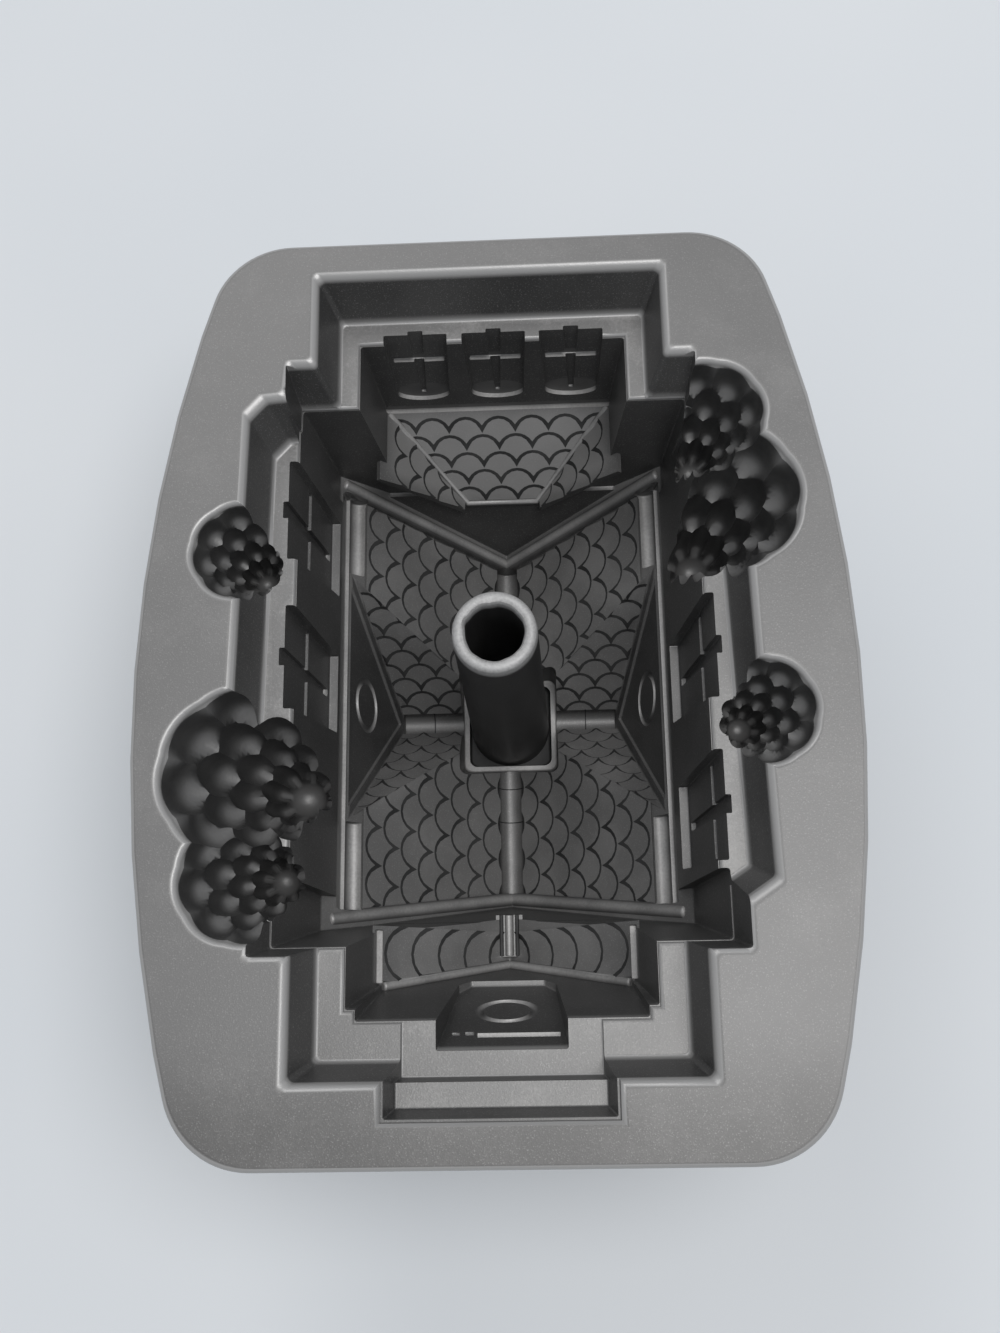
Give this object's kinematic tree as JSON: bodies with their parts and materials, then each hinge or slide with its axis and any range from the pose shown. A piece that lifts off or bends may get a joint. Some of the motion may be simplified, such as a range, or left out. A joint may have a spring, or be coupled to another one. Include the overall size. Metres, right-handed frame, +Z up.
{
  "type": "gingerbread house cake pan",
  "caption": "Deep cast cake mould shaped as a gabled cottage with cross gable, porch, bay and trees, with a wide flat flange and a hollow centre tube.",
  "frame": {"origin": "centre of the bounding box at the level that the pan stands on", "axes": "+Z up, out of the mould's open mouth; +Y towards the back of the house, along the flange's length; -Y is the side with the porch and door step; +X to the house's right as seen in the picture"},
  "size_m": [0.2174, 0.287, 0.141],
  "materials": {
    "coated_casting": "satin dark grey non-stick coating on cast aluminium",
    "coated_flange": "satin mid-grey non-stick coating, lightly speckled and scuffed",
    "coated_tube": "satin dark grey non-stick coating, worn lighter at the lip"
  },
  "bodies": {
    "root": {"bay_roof": "coated_casting", "bay_walls": "coated_casting", "bay_window_left": "coated_casting", "bay_window_middle": "coated_casting", "bay_window_right": "coated_casting", "centre_tube": "coated_tube", "chimney_box": "coated_casting", "cross_roof_front_left": "coated_casting", "cross_roof_front_right": "coated_casting", "cross_roof_rear_left": "coated_casting", "cross_roof_rear_right": "coated_casting", "door_step_lower": "coated_casting", "door_step_upper": "coated_casting", "eave_bead_front_left": "coated_casting", "eave_bead_front_right": "coated_casting", "eave_bead_rear_left": "coated_casting", "eave_bead_rear_right": "coated_casting", "front_door": "coated_casting", "gable_front": "coated_casting", "gable_rear": "coated_casting", "gable_wall_left": "coated_casting", "gable_wall_right": "coated_casting", "ground_front_left": "coated_casting", "ground_front_right": "coated_casting", "ground_left_front": "coated_casting", "ground_left_rear": "coated_casting", "ground_rear": "coated_casting", "ground_right_front": "coated_casting", "ground_right_rear": "coated_casting", "house_wall_left": "coated_casting", "house_wall_right": "coated_casting", "porch_roof": "coated_casting", "porch_wall_left": "coated_casting", "porch_wall_right": "coated_casting", "ridge_front": "coated_casting", "ridge_left": "coated_casting", "ridge_rear": "coated_casting", "ridge_right": "coated_casting", "rim_flange": "coated_flange", "roof_front_left": "coated_casting", "roof_front_right": "coated_casting", "roof_rear_left": "coated_casting", "roof_rear_right": "coated_casting", "round_window_left": "coated_casting", "round_window_right": "coated_casting", "tree_left_front": "coated_casting", "tree_left_middle": "coated_casting", "tree_left_rear": "coated_casting", "tree_right_front": "coated_casting", "tree_right_middle": "coated_casting", "tree_right_rear": "coated_casting", "window_left_front": "coated_casting", "window_left_rear": "coated_casting", "window_right_front": "coated_casting", "window_right_rear": "coated_casting"}
  },
  "joints": []
}
